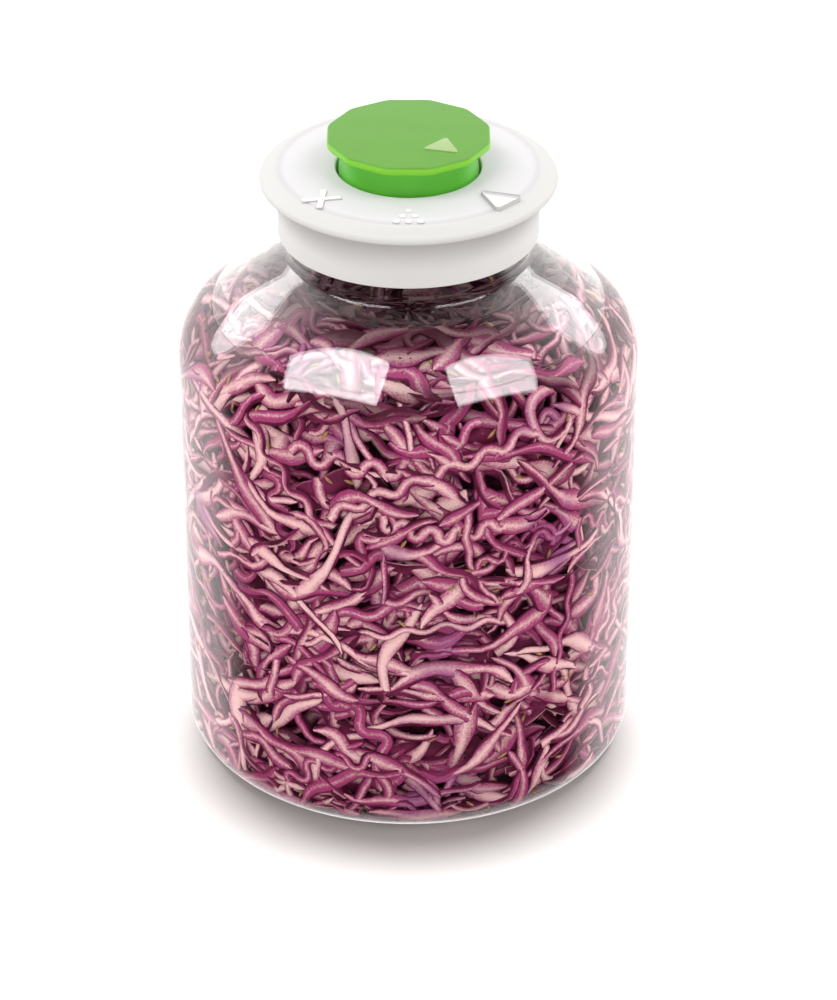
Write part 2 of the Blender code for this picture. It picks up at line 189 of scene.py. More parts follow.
# %% [markdown]
# The floor
#
# A large white sheet. It takes the soft grey shadow under the jar. Neither mirrors
# nor the inner sides of the glass see it, so that it puts no white veil over the
# front. The other lamps leave it out, and one far lamp, high up and a little behind
# the jar, shines on it alone: that keeps the shadow short and in front. A far lamp is
# as strong everywhere, so the paper stays white up to the horizon of a low view.

# %% Floor
ABOVE_PLACE, ABOVE_WIDTH_DEG, ABOVE_STRENGTH = (0, 0.27, 2.0), 12.0, 4.0
FLOOR_SIZE, FLOOR_DROP = 30.0, 0.2 * MM
PAPER, PAPER_ROUGHNESS = (0.65, 0.64, 0.63), 0.9


def plain_material(name, colour, roughness):
    """A Principled material with its two main values set on the shader."""
    made = bpy.data.materials.new(name)
    made.use_nodes = True
    shader = made.node_tree.nodes["Principled BSDF"]
    shader.inputs["Base Color"].default_value = (*colour, 1)
    shader.inputs["Roughness"].default_value = roughness
    return made, made.node_tree, shader


bpy.ops.mesh.primitive_plane_add(size=FLOOR_SIZE, location=(0, 0, -FLOOR_DROP))
floor = bpy.context.object
floor.name = "floor"
floor.visible_glossy = False
floor.visible_transmission = False
all_but(floor, [o for o in bpy.data.objects if o.type == "LIGHT"])
lit_alone = bpy.data.collections.new("lit_alone")
lit_alone.objects.link(floor)
above = bpy.data.objects.new("far_lamp", bpy.data.lights.new("far_lamp", "SUN"))
bpy.context.scene.collection.objects.link(above)
above.location = ABOVE_PLACE
above.rotation_euler = (-above.location).to_track_quat("-Z", "Y").to_euler()
above.data.angle = math.radians(ABOVE_WIDTH_DEG)
above.data.energy = ABOVE_STRENGTH
above.light_linking.receiver_collection = lit_alone
floor.data.materials.append(plain_material("paper", PAPER, PAPER_ROUGHNESS)[0])
print("floor of", FLOOR_SIZE, "m in place")

# %% [markdown]
# Turned pieces
#
# Glass, lid and knob are round, and each is raised as one would by hand: a circle
# is added, and its edge is extruded, lifted and scaled ring by ring along the
# profile. A list of radius and height is all that such a piece needs, and round
# stretches of it come from a formula.

# %% Helpers for turned pieces
TURN_STEPS = 160
SAME_PLACE = 1e-6


def arc(centre_r, centre_z, radius, start_deg, end_deg, pieces):
    """Points of a round stretch of a profile, as (r, z)."""
    turn = (end_deg - start_deg) / pieces
    angles = [math.radians(start_deg + turn * i) for i in range(pieces + 1)]
    return [(centre_r + radius * math.cos(a), centre_z + radius * math.sin(a)) for a in angles]


def deselect():
    bpy.ops.object.select_all(action="DESELECT")


def close_ring(height, radius):
    """Fills the ring of vertices at this height and radius with a fan."""
    bpy.ops.mesh.select_all(action="DESELECT")
    bpy.ops.object.mode_set(mode="OBJECT")
    mesh = bpy.context.object.data
    for vert in mesh.vertices:
        near_r = abs(math.hypot(vert.co.x, vert.co.y) - radius) < SAME_PLACE
        vert.select = near_r and abs(vert.co.z - height) < SAME_PLACE
    bpy.ops.object.mode_set(mode="EDIT")
    bpy.ops.mesh.edge_face_add()
    bpy.ops.mesh.poke()


def turned(name, profile, steps=TURN_STEPS):
    """Raises a circle along the profile's rings, and fills its two ends near the axis."""
    deselect()
    (first_r, first_z), (last_r, last_z) = profile[0], profile[-1]
    bpy.ops.mesh.primitive_circle_add(vertices=steps, radius=first_r, location=(0, 0, first_z))
    made = bpy.context.object
    made.name = name
    bpy.ops.object.transform_apply(location=True)
    bpy.ops.object.mode_set(mode="EDIT")
    bpy.ops.mesh.select_all(action="SELECT")
    for (old_r, old_z), (new_r, new_z) in zip(profile, profile[1:]):
        bpy.ops.mesh.extrude_edges_move(TRANSFORM_OT_translate={"value": (0, 0, new_z - old_z)})
        share = new_r / old_r
        bpy.ops.transform.resize(value=(share, share, 1), center_override=(0, 0, new_z))
    close_ring(last_z, last_r)
    close_ring(first_z, first_r)
    bpy.ops.mesh.select_all(action="SELECT")
    bpy.ops.mesh.normals_make_consistent(inside=False)
    bpy.ops.object.mode_set(mode="OBJECT")
    bpy.ops.object.shade_smooth_by_angle(angle=math.radians(40))
    return made


def finish(made, paint, body, slot, *nodes):
    """Paints a piece, puts it on its body and lets it stand for CAD nodes."""
    made.data.materials.clear()
    made.data.materials.append(paint)
    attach(made, body)
    if nodes:
        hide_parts(*nodes)
    faces = sum(len(face.vertices) - 2 for face in made.data.polygons)
    print(f"{made.name}: {faces} triangles on {body}")
    return made


# %% [markdown]
# The glass jar
#
# The wall is about three millimetres thick, with a round heel, a soft
# shoulder and a straight cone up to the neck, which the lid's collar covers. It is
# one closed shell with an outer and an inner side, because only real thickness
# bends light as glass does. The profile repeats the solid's sizes, but its floor is
# thinner, so that shreds show down to the very edge. The cone is crowned by a
# millimetre and meets the shoulder in a faint seam, which is what ends the two pale
# reflections where they end in the photograph. Lamps and soft light pass the glass
# and the brine unhindered, because bent light would need far more samples.

# %% Glass profile
WALL = 3.3 * MM
FLOOR_THICK = 3.6 * MM
HEEL_R = 12.5 * MM
PUSH_UP = 1.2 * MM
FOOT_R = 62.0 * MM
SHOULDER_Z, SHOULDER_R, CONE_DEG = 164.8 * MM, 25.0 * MM, 36.0
NECK_R, NECK_FILLET = 45.3 * MM, 4.0 * MM
RIM_ROUND = 1.4 * MM
CROWN, CROWN_STEPS, SEAM_DEG = 1.0 * MM, 12, 7.0
AXIS_R = 0.4 * MM
FILLET_STEPS, SHOULDER_STEPS, HEEL_STEPS = 8, 14, 10


def glass_side(inset):
    """The jar's side from the neck down to the floor, moved in by inset."""
    lean = 90.0 - CONE_DEG
    across, up = math.cos(math.radians(lean)), math.sin(math.radians(lean))
    tangent_r = BODY_R - SHOULDER_R + SHOULDER_R * across
    tangent_z = SHOULDER_Z + SHOULDER_R * up
    fillet_r = NECK_R + NECK_FILLET
    fillet_z = tangent_z + (NECK_FILLET - across * (fillet_r - tangent_r)) / up
    points = [(NECK_R - inset, MOUTH_Z - RIM_ROUND)]
    points += arc(fillet_r, fillet_z, NECK_FILLET + inset, 180.0, 180.0 + lean, FILLET_STEPS)
    bend_r = SHOULDER_R - inset
    seam = arc(BODY_R - SHOULDER_R, SHOULDER_Z, bend_r, lean - SEAM_DEG, 0.0, SHOULDER_STEPS)
    (top_r, top_z), (low_r, low_z) = points[-1], seam[0]
    for step in range(1, CROWN_STEPS):
        share = step / CROWN_STEPS
        bulge = 4 * CROWN * share * (1 - share)
        r = top_r + (low_r - top_r) * share + bulge * across
        points.append((r, top_z + (low_z - top_z) * share + bulge * up))
    points += seam
    lift = max(0.0, inset + FLOOR_THICK - HEEL_R)
    points += arc(BODY_R - HEEL_R, HEEL_R + lift, HEEL_R - inset, 0.0, -90.0, HEEL_STEPS)
    return points


def glass_inside():
    """The inner side from near the axis on the floor up to the neck."""
    side = glass_side(WALL)
    drop = FLOOR_THICK - side[-1][1]
    wall, heel = side[: -HEEL_STEPS - 1], side[-HEEL_STEPS - 1 :]
    heel = [(r, z + drop) for r, z in heel]
    return [(AXIS_R, FLOOR_THICK)] + (wall + heel)[::-1]


def glass_profile():
    """Up the inner side, over the rim, down the outer side and under the base."""
    rim = arc(NECK_R - WALL + RIM_ROUND, MOUTH_Z - RIM_ROUND, RIM_ROUND, 180.0, 90.0, 4)
    rim += arc(NECK_R - RIM_ROUND, MOUTH_Z - RIM_ROUND, RIM_ROUND, 90.0, 0.0, 4)[1:]
    under = [(FOOT_R, 0.0), (FOOT_R - 2 * PUSH_UP, PUSH_UP), (AXIS_R, PUSH_UP)]
    return glass_inside()[:-1] + rim + glass_side(0.0)[1:] + under


print("glass profile:", len(glass_profile()), "rings")


# %% Glass finish
GLASS_IOR, GLASS_COLOUR = 1.5, (1.0, 1.0, 1.0)


def noise_at(tree, scale, detail=2.0):
    """Noise on Object coordinates, about 0.5."""
    place = tree.nodes.new("ShaderNodeTexCoord")
    noise = tree.nodes.new("ShaderNodeTexNoise")
    noise.inputs["Scale"].default_value = scale
    noise.inputs["Detail"].default_value = detail
    link(tree, place.outputs["Object"], noise.inputs["Vector"])
    return noise.outputs["Fac"]


def add_bump(tree, shader, height, strength, distance):
    """Fine unevenness of the surface, which follows a socket."""
    bump = tree.nodes.new("ShaderNodeBump")
    bump.inputs["Strength"].default_value = strength
    bump.inputs["Distance"].default_value = distance
    link(tree, height, bump.inputs["Height"])
    link(tree, bump.outputs["Normal"], shader.inputs["Normal"])


def clear_material(name, colour, ior, wave_scale, wave_strength, wave_height):
    """A clear and glossy material, very slightly wavy."""
    made, tree, shader = plain_material(name, colour, 0.0)
    shader.inputs["Transmission Weight"].default_value = 1.0
    shader.inputs["IOR"].default_value = ior
    add_bump(tree, shader, noise_at(tree, wave_scale, 0.0), wave_strength, wave_height)
    return made


def let_light_pass(made):
    """Shadows and soft light leave this piece out."""
    made.visible_shadow = False
    made.visible_diffuse = False


glass = turned("glass_jar_blown", glass_profile())
let_light_pass(glass)
clear_glass = clear_material("clear_glass", GLASS_COLOUR, GLASS_IOR, 14.0, 0.25, 1.2 * MM)
finish(glass, clear_glass, "jar", "clear_glass", "glass_jar")

# %% [markdown]
# The brine
#
# The liquid fills all between the shreds. Its side reaches a little way into the
# glass wall, so that no air gap shows between the two. It stands at the foot of the
# cone, just where the photograph has its dark line round the jar. Further in, where
# the heap's top is dished, its surface dips with the heap and stays covered.

# %% Brine
BRINE_Z, COVERED_Z = 184.5 * MM, 168.0 * MM
DIP_FROM, DIP_TO = 52.0 * MM, 40.0 * MM
INTO_WALL = 0.4 * MM
BRINE_IOR, BRINE_COLOUR = 1.34, (0.97, 0.80, 0.86)


def brine_profile():
    """The inside of the glass without its floor, moved out into the wall, up to the level."""
    inside = glass_inside()[2:]
    side = [(r + INTO_WALL, z) for r, z in inside if z < BRINE_Z]
    (low_r, low_z), (high_r, high_z) = side[-1], inside[len(side)]
    share = (BRINE_Z - low_z) / (high_z - low_z)
    edge = low_r + share * (high_r + INTO_WALL - low_r)
    floor_z = FLOOR_THICK - INTO_WALL
    start = [(AXIS_R, floor_z), (BODY_R - HEEL_R, floor_z)]
    top = [(edge, BRINE_Z), (DIP_FROM, BRINE_Z), (DIP_TO, COVERED_Z), (AXIS_R, COVERED_Z)]
    return start + side + top


brine = turned("brine", brine_profile())
let_light_pass(brine)
pink_brine = clear_material("brine", BRINE_COLOUR, BRINE_IOR, 30.0, 0.1, 0.8 * MM)
finish(brine, pink_brine, "jar", "red_cabbage")

# %% [markdown]
# The skin of the heap
#
# Every shred is first laid out flat, as if the inside of the glass were unrolled: x
# runs round the jar, y runs up the wall and on over the shoulder and the dished top,
# and depth runs inwards. A table of the glass's inner side then rolls it all up. So
# shreds lie against the glass by themselves, and none of them can cross it.

# %% Rolling the flat layout up
CLEAR = 0.35 * MM
HEAP_EDGE_Z = 201.0 * MM
HEAP_DISH = 20.0 * MM
SKIN_STEP = 0.5 * MM
DISH_STEPS, SMOOTHED_OVER = 24, 9
SKIN_START = 2 * MM


def heap_skin():
    """Radius, height and outward normal at even steps from the floor's middle to the top's."""
    inside = [(r, z) for r, z in glass_inside() if z < HEAP_EDGE_Z]
    low, high = Vector(inside[-1]), Vector(glass_inside()[len(inside)])
    edge = low.lerp(high, (HEAP_EDGE_Z - low.y) / (high.y - low.y))
    inside.append(tuple(edge))
    for step in range(1, DISH_STEPS + 1):
        share = 1 - step / DISH_STEPS
        inside.append((edge.x * share, edge.y - HEAP_DISH * (1 - share * share)))
    points = np.array(inside)
    run = np.r_[0, np.cumsum(np.hypot(*np.diff(points, axis=0).T))]
    even = np.arange(0, run[-1], SKIN_STEP)
    r, z = np.interp(even, run, points[:, 0]), np.interp(even, run, points[:, 1])
    smooth, beyond = np.ones(SMOOTHED_OVER) / SMOOTHED_OVER, SMOOTHED_OVER // 2
    dr = np.convolve(np.pad(np.gradient(r), beyond, mode="edge"), smooth, "valid")
    dz = np.convolve(np.pad(np.gradient(z), beyond, mode="edge"), smooth, "valid")
    size = np.hypot(dr, dz)
    return even, r, z, dz / size, -dr / size


SKIN_RUN, SKIN_R, SKIN_Z, SKIN_OUT, SKIN_UP = heap_skin()
WALL_FOOT = float(SKIN_RUN[np.argmax(SKIN_R > BODY_R - 1.3 * HEEL_R)])
TOP_RIM = float(SKIN_RUN[np.argmax(SKIN_Z > HEAP_EDGE_Z - 1 * MM)])
SKIN_END = float(SKIN_RUN[-1])


def rolled(angle, run, depth):
    """Points in space of flat places given as angle, run up the skin and depth under it."""
    run = np.clip(run, SKIN_START, SKIN_END)
    depth = np.maximum(depth, CLEAR)
    r = np.interp(run, SKIN_RUN, SKIN_R) - depth * np.interp(run, SKIN_RUN, SKIN_OUT)
    z = np.interp(run, SKIN_RUN, SKIN_Z) - depth * np.interp(run, SKIN_RUN, SKIN_UP)
    r = np.maximum(r, 0.0)
    return np.stack([r * np.cos(angle), r * np.sin(angle), z], axis=-1)


print("skin length", round(SKIN_END / MM), "mm, rim at", round(TOP_RIM / MM), "mm")

# %% [markdown]
# One shred
#
# A shred is a strip sliced off a leaf. Across its section it has two skins, dark
# magenta, and between them the pale flesh that the knife laid bare and that swells a
# little. So a section is a domed oblong of ten points. The middle line wanders, bends
# and waves, and the section twists along it. All shreds of a kind are worked out at
# once as arrays and joined in one mesh.
#
# Six attributes tell the material where a point lies. side runs from 0 in the middle to 1 at the
# skin. rim is the distance from the skin and across the one from the middle, both in millimetres,
# and along runs from one end to the other. tone makes each shred its own. dim says how much painted
# shade it carries: deep between the others, under the lid's shadow, or in the dark belt at the
# brine's level.

# %% Shreds as arrays
SECTION_U = np.array([-1.0, -0.7, 0.0, 0.7, 1.0, 1.0, 0.7, 0.0, -0.7, -1.0])
SECTION_V = np.array([-0.5, -0.86, -1.0, -0.86, -0.5, 0.5, 0.86, 1.0, 0.86, 0.5])
SHADE_FROM, SHADE_LENGTH, LID_SHADE = -20.0 * MM, 16.0 * MM, (0.6, 1.05)
BELT_Z, BELT_HALF, BELT_SHADE = 180.5 * MM, 6.0 * MM, (-0.1, 1.1)
DEEP_FROM, DEEP_LENGTH, DEEP_SHADE = 3.0 * MM, 5.0 * MM, 0.62
REACH = (WALL_FOOT - 4 * MM, TOP_RIM + 42 * MM)
SHRED_FOOT, LEAST_TURN_R = WALL_FOOT * 0.55, 18 * MM
FLOW_LEAN, HEADING_SPREAD = 1.2, 0.68
DEPTH_SWING = 1.2 * MM


def strand_faces(count, stations, ring):
    """Quads along every strand, and a cap of a few quads at each end."""
    first = np.arange(count)[:, None, None] * stations * ring
    along = np.arange(stations - 1)[None, :, None] * ring
    around = np.arange(ring)[None, None, :]
    after = (around + 1) % ring
    a = first + along + around
    b = first + along + after
    sides = np.stack([a, b, b + ring, a + ring], axis=-1).reshape(-1, 4)
    start = (np.arange(count) * stations * ring)[:, None]
    end = start + (stations - 1) * ring
    caps = []
    for i in range(ring // 2 - 1):
        quad = np.array([i, ring - 1 - i, ring - 2 - i, i + 1])
        caps.append(start + quad[None, :])
        caps.append(end + quad[::-1][None, :])
    return np.concatenate([sides] + caps)


def mesh_from(name, points, faces, **attributes):
    """One mesh piece from arrays, smooth, with its attributes."""
    mesh = bpy.data.meshes.new(name)
    mesh.from_pydata(points.reshape(-1, 3).tolist(), [], faces.tolist())
    for key, values in attributes.items():
        layer = mesh.attributes.new(key, "FLOAT", "POINT")
        layer.data.foreach_set("value", np.ascontiguousarray(values, np.float32).ravel())
    mesh.validate()
    made = bpy.data.objects.new(name, mesh)
    bpy.context.scene.collection.objects.link(made)
    mesh.shade_smooth()
    mesh.set_sharp_from_angle(angle=math.radians(50))
    return made


def field(angle, run, seeds):
    """A smooth value between about -1 and 1 that changes slowly over the wall."""
    value = 0
    for a_turns, r_turns, phase in seeds:
        value = value + np.sin(a_turns * angle + r_turns * run / (30 * MM) + phase)
    return value / len(seeds)


FLOW = [(3, 1.1, 0.4), (5, -0.7, 2.0), (2, 1.9, 4.1), (7, 0.8, 1.2), (4, -1.6, 5.2)]


def strands(draw, count, stations, length, depth, bend, wave, wave_mm):
    """Middle lines of many strands on the flat layout, with their directions.

    They start in REACH, a stretch of the skin. length and depth are in metres. bend is
    the whole turn in radians, wave the swing of direction and wave_mm its length.
    """
    share = np.linspace(0, 1, stations)[None, :] * np.ones((count, 1))
    long = draw.uniform(*length, (count, 1))
    start_angle = draw.uniform(0, 2 * math.pi, (count, 1))
    start_run = draw.uniform(*REACH, (count, 1))
    heading = field(start_angle, start_run, FLOW) * FLOW_LEAN
    heading = heading + draw.normal(0, HEADING_SPREAD, (count, 1))
    heading = heading + math.pi * draw.integers(0, 2, (count, 1))
    turn = draw.uniform(-1, 1, (count, 1)) * bend
    waves = 2 * math.pi * long / (draw.uniform(*wave_mm, (count, 1)) * MM)
    swing = draw.uniform(0.3, 1, (count, 1)) * wave
    phase = draw.uniform(0, 2 * math.pi, (count, 1))
    way = heading + turn * (share - 0.5) + swing * np.sin(waves * share + phase)
    step = long / (stations - 1)
    x = np.cumsum(np.cos(way), axis=1) * step
    y = np.cumsum(np.sin(way), axis=1) * step
    x -= x.mean(axis=1, keepdims=True)
    y -= y.mean(axis=1, keepdims=True)
    under = draw.uniform(*depth, (count, 1))
    under = under + DEPTH_SWING * np.sin(waves * share * 0.5 + phase * 2.3)
    return {
        "share": share,
        "angle": start_angle,
        "run": start_run,
        "x": x,
        "y": y,
        "way": way,
        "under": under,
        "phase": phase,
    }


def swept(line, aside, inward):
    """Sets sections out along middle lines and rolls them up: their points and runs."""
    way = line["way"][..., None]
    x = line["x"][..., None] - np.sin(way) * aside
    y = line["y"][..., None] + np.cos(way) * aside
    run = np.clip(line["run"][..., None] + y, SHRED_FOOT, SKIN_END)
    radius = np.maximum(np.interp(run, SKIN_RUN, SKIN_R), LEAST_TURN_R)
    angle = line["angle"][..., None] + x / radius
    return rolled(angle, run, line["under"][..., None] + inward), run


def dimmed(draw, count, run, height, under):
    """Painted shade on a shred: deep in, under the lid's shadow, and in a dark belt at the brine's
    level.
    """
    share = np.clip((run - TOP_RIM - SHADE_FROM) / SHADE_LENGTH, 0, 1)
    under_lid = share * share * (3 - 2 * share) * draw.uniform(*LID_SHADE, (count, 1, 1))
    belt = np.exp(-(((height - BELT_Z) / BELT_HALF) ** 2)) * draw.uniform(*BELT_SHADE, (count, 1, 1))
    deep = np.clip((under - DEEP_FROM) / DEEP_LENGTH, 0, 1)[..., None] * DEEP_SHADE
    return np.clip(np.maximum(np.maximum(under_lid, belt), deep), 0, 1)


def wrapped(draw, name, line, half_thick, half_slice, roll, paint):
    """Sweeps the section along the strands, rolls the layout up and makes the piece.

    half_thick is half the way from skin to skin, half_slice half the knife's cut, and
    roll is the angle of the section.
    """
    tones = draw.uniform(0, 1, (len(half_thick), 1))
    u = SECTION_U * half_thick[..., None]
    v = SECTION_V * half_slice[..., None]
    cos_roll, sin_roll = np.cos(roll)[..., None], np.sin(roll)[..., None]
    points, run = swept(line, u * cos_roll - v * sin_roll, u * sin_roll + v * cos_roll)
    shape = count, stations, ring = points.shape[:3]
    made = mesh_from(
        name,
        points,
        strand_faces(count, stations, ring),
        side=np.broadcast_to(np.abs(SECTION_U), shape),
        rim=(half_thick[..., None] - np.abs(u)) / MM,
        along=np.broadcast_to(line["share"][..., None], shape),
        tone=np.broadcast_to(tones[..., None], shape),
        across=np.broadcast_to(u, shape) / MM,
        dim=dimmed(draw, count, run, points[..., 2], line["under"]),
    )
    finish(made, paint, "jar", "red_cabbage")


print("shreds start from", round(REACH[0] / MM), "to", round(REACH[1] / MM), "mm along the skin")

# %% [markdown]
# The colours of red cabbage
#
# The cut flesh runs from pale pink to magenta, with fibres along the strip, a fine grain and purple
# patches here and there. It is palest in the middle of each strip: partly the flesh's own colour,
# partly a painted highlight on the domed cut. The skin is a deep wine purple. The border between
# them is narrow and a little uneven. Wet leaves are smooth, but in brine they mirror only little.
# Where dim asks for it, painted shade turns all of it to a red that is nearly black.

# %% Cabbage material
FLESH_PALE_AND_HIGHLIGHT, FLESH_PINK = (1.0, 0.69, 0.66), (0.40, 0.055, 0.185)
FLESH_PURPLE = (0.38, 0.12, 0.31)
SKIN_DARK, SKIN_BRIGHT = (0.075, 0.006, 0.026), (0.21, 0.022, 0.085)
PALE_BELOW, PINK_ABOVE = 1.35, 3.0
BORDER_FROM, BORDER_TO = 0.45, 0.85
FIBRE_STRETCH = (2.6, 4.0, 31.0)
IN_SHADE = (0.050, 0.005, 0.015)


def read_attribute(tree, name):
    node = tree.nodes.new("ShaderNodeAttribute")
    node.attribute_name = name
    return node.outputs["Fac"]


def blend_colours(tree, share, first, second):
    """A colour between two, which are sockets or plain colours."""
    mix = tree.nodes.new("ShaderNodeMix")
    mix.data_type = "RGBA"
    link(tree, share, mix.inputs[0])
    for socket, value in ((mix.inputs[6], first), (mix.inputs[7], second)):
        if isinstance(value, tuple):
            socket.default_value = (*value, 1)
        else:
            link(tree, value, socket)
    return mix.outputs[2]


def ramp_between(tree, value, low, high):
    """0 below low, 1 above high, smooth between."""
    node = tree.nodes.new("ShaderNodeMapRange")
    node.interpolation_type = "SMOOTHSTEP"
    node.inputs["From Min"].default_value = low
    node.inputs["From Max"].default_value = high
    link(tree, value, node.inputs["Value"])
    return node.outputs["Result"]


def add_numbers(tree, first, second, times=1.0):
    """first + times * second."""
    node = tree.nodes.new("ShaderNodeMath")
    node.operation = "MULTIPLY_ADD"
    link(tree, second, node.inputs[0])
    node.inputs[1].default_value = times
    link(tree, first, node.inputs[2])
    return node.outputs[0]


def fibre_noise(tree):
    """Streaks that run along the strip: fast across it and slow along it."""
    join = tree.nodes.new("ShaderNodeCombineXYZ")
    link(tree, read_attribute(tree, "across"), join.inputs[0])
    link(tree, read_attribute(tree, "along"), join.inputs[1])
    link(tree, read_attribute(tree, "tone"), join.inputs[2])
    stretch = tree.nodes.new("ShaderNodeMapping")
    stretch.inputs["Scale"].default_value = FIBRE_STRETCH
    noise = tree.nodes.new("ShaderNodeTexNoise")
    noise.inputs["Scale"].default_value = 1.0
    noise.inputs["Detail"].default_value = 3.0
    link(tree, join.outputs[0], stretch.inputs[0])
    link(tree, stretch.outputs[0], noise.inputs["Vector"])
    return noise.outputs["Fac"]


def cabbage_material(name, paleness):
    """Leaf strip: flesh between two skins. paleness makes more of the flesh pale."""
    made, tree, shader = plain_material(name, FLESH_PINK, 0.34)
    fibres = fibre_noise(tree)
    patches = noise_at(tree, 90.0)
    tone = read_attribute(tree, "tone")
    # Pale in the middle of the strip, magenta towards the skin: partly the flesh's own colour,
    # partly a painted highlight.
    flesh_share = add_numbers(tree, tone, read_attribute(tree, "side"), 1.5)
    flesh_share = add_numbers(tree, add_numbers(tree, flesh_share, fibres, 0.7), patches, 0.9)
    flesh_share = add_numbers(tree, flesh_share, noise_at(tree, 1300.0, 1.0), 1.3)
    flesh_share = ramp_between(tree, flesh_share, PALE_BELOW + paleness, PINK_ABOVE + paleness)
    flesh = blend_colours(tree, flesh_share, FLESH_PALE_AND_HIGHLIGHT, FLESH_PINK)
    purple = ramp_between(tree, noise_at(tree, 38.0, 1.0), 0.55, 0.85)
    flesh = blend_colours(tree, purple, flesh, FLESH_PURPLE)
    skin = blend_colours(tree, ramp_between(tree, patches, 0.3, 0.7), SKIN_DARK, SKIN_BRIGHT)
    border = add_numbers(tree, read_attribute(tree, "rim"), fibres, 0.6)
    border = ramp_between(tree, border, BORDER_FROM, BORDER_TO)
    colour = blend_colours(tree, border, skin, flesh)
    # Painted shade: deep in the heap, under the lid and in the belt at the brine's level, the colour
    # turns nearly black.
    colour = blend_colours(tree, read_attribute(tree, "dim"), colour, IN_SHADE)
    link(tree, colour, shader.inputs["Base Color"])
    shader.inputs["Specular IOR Level"].default_value = 0.16
    add_bump(tree, shader, fibres, 0.5, 0.4 * MM)
    return made


RIB_PAINT = cabbage_material("cabbage_rib", 0.35)
RIBBON_PAINT = cabbage_material("cabbage_ribbon", 0.0)
FLAP_PAINT = cabbage_material("cabbage_flap", -0.35)
print("cabbage materials made")

# %% [markdown]
# Five kinds of shred
#
# Rib shreds are cut through the thick pale veins: a fat drop at one end and a long
# thin tail. Ribbons are the thin leaf between the veins, wavy as a crimped strip.
# Folded ribbons wave in tight zigzags. Curls bend through most of a circle. Flaps
# are broader bits of leaf that show their dark skin. Each kind has its own mesh.

# %% Ribs and ribbons
# One seeded draw serves all pieces in turn, so that each run gives the same heap.
DRAW_SEED = 11
draw = np.random.default_rng(DRAW_SEED)


def ribs(count):
    """Slices through a vein, with a bulb in the first half and a tail."""
    line = strands(draw, count, 13, (0.030, 0.064), (0.0018, 0.0060), 1.2, 0.3, (22, 40))
    share, phase = line["share"], line["phase"]
    bulb = draw.uniform(1.2, 3.6, (count, 1)) * MM
    middle = draw.uniform(0.12, 0.45, (count, 1))
    swell = np.exp(-(((share - middle) / 0.19) ** 2))
    ends = np.clip(np.minimum(share, 1 - share) * 9 + 0.35, 0, 1)
    half_thick = (draw.uniform(1.4, 2.1, (count, 1)) * MM + bulb * swell) * ends
    half_slice = (1.4 + 0.3 * np.sin(7 * share + phase)) * MM * ends
    roll = draw.normal(0, 0.25, (count, 1)) + 0.5 * np.sin(3 * share + phase) * (share > 0.5)
    wrapped(draw, "rib_shreds", line, half_thick, half_slice, roll, RIB_PAINT)


def ribbons(count):
    """Slices of thin leaf, with uneven edges."""
    line = strands(draw, count, 16, (0.030, 0.070), (0.0018, 0.0070), 1.7, 0.55, (16, 34))
    share, phase = line["share"], line["phase"]
    thick = draw.uniform(1.7, 3.2, (count, 1)) * MM
    uneven = 1 + 0.22 * np.sin(8 * share + phase) + 0.16 * np.sin(19 * share + 2 * phase)
    half_thick = thick * uneven * np.clip(np.minimum(share * 7, (1 - share) * 5) + 0.35, 0, 1)
    half_slice = draw.uniform(1.0, 1.6, (count, 1)) * MM * np.ones_like(share)
    roll = draw.normal(0, 0.35, (count, 1)) + 0.6 * np.sin(4 * share + 1.7 * phase)
    wrapped(draw, "ribbon_shreds", line, half_thick, half_slice, roll, RIBBON_PAINT)


ribs(720)
ribbons(600)


# %% Folds, curls and flaps
def folds(count):
    """Long slices in zigzags."""
    line = strands(draw, count, 44, (0.060, 0.110), (0.0018, 0.0060), 1.4, 1.25, (15, 24))
    share, phase = line["share"], line["phase"]
    half_thick = draw.uniform(1.5, 2.5, (count, 1)) * MM * np.ones_like(share)
    half_slice = draw.uniform(1.1, 1.7, (count, 1)) * MM * np.ones_like(share)
    roll = draw.normal(0, 0.3, (count, 1)) + 0.4 * np.sin(3 * share + phase)
    wrapped(draw, "folded_shreds", line, half_thick, half_slice, roll, RIBBON_PAINT)


def curls(count):
    """Short slices that bend round and widen to one end."""
    line = strands(draw, count, 14, (0.026, 0.050), (0.0016, 0.0060), 5.0, 0.3, (9, 22))
    share = line["share"]
    half_thick = draw.uniform(1.5, 2.7, (count, 1)) * MM * (0.6 + 0.5 * share)
    half_slice = draw.uniform(0.9, 1.5, (count, 1)) * MM * np.ones_like(share)
    roll = draw.normal(0, 0.35, (count, 1)) * np.ones_like(share)
    wrapped(draw, "curled_shreds", line, half_thick, half_slice, roll, RIBBON_PAINT)


def flaps(count):
    """Broad thin bits turned flat to the glass, deeper in than the rest."""
    line = strands(draw, count, 11, (0.022, 0.050), (0.0035, 0.0090), 1.1, 0.4, (18, 35))
    share, phase = line["share"], line["phase"]
    ends = np.clip(np.minimum(share, 1 - share) * 7 + 0.2, 0, 1)
    half_thick = draw.uniform(0.35, 0.55, (count, 1)) * MM * np.ones_like(share)
    half_slice = draw.uniform(3.0, 6.5, (count, 1)) * MM * ends
    roll = math.pi / 2 + draw.normal(0, 0.35, (count, 1)) + 0.4 * np.sin(3 * share + phase)
    wrapped(draw, "leaf_flaps", line, half_thick, half_slice, roll, FLAP_PAINT)


folds(215)
curls(300)
flaps(480)

# %% [markdown]
# The core and the seeds
#
# Behind the outer shreds there is only more cabbage, so a dark lumpy core closes the view between
# them. Its near-black colour is painted shade, for the cabbage that lies deeper in. It stands for
# the imported node. Caraway seeds lie here and there among the shreds, yellow-brown and ribbed.

# %% Core
CORE_DEPTH = 9.0 * MM
CORE_EVERY, CORE_STEPS = 12, 96
# The core's colours are painted shade: the deeper cabbage shown nearly black.
CORE_DARK, CORE_BRIGHT = (0.018, 0.0020, 0.006), (0.13, 0.012, 0.045)


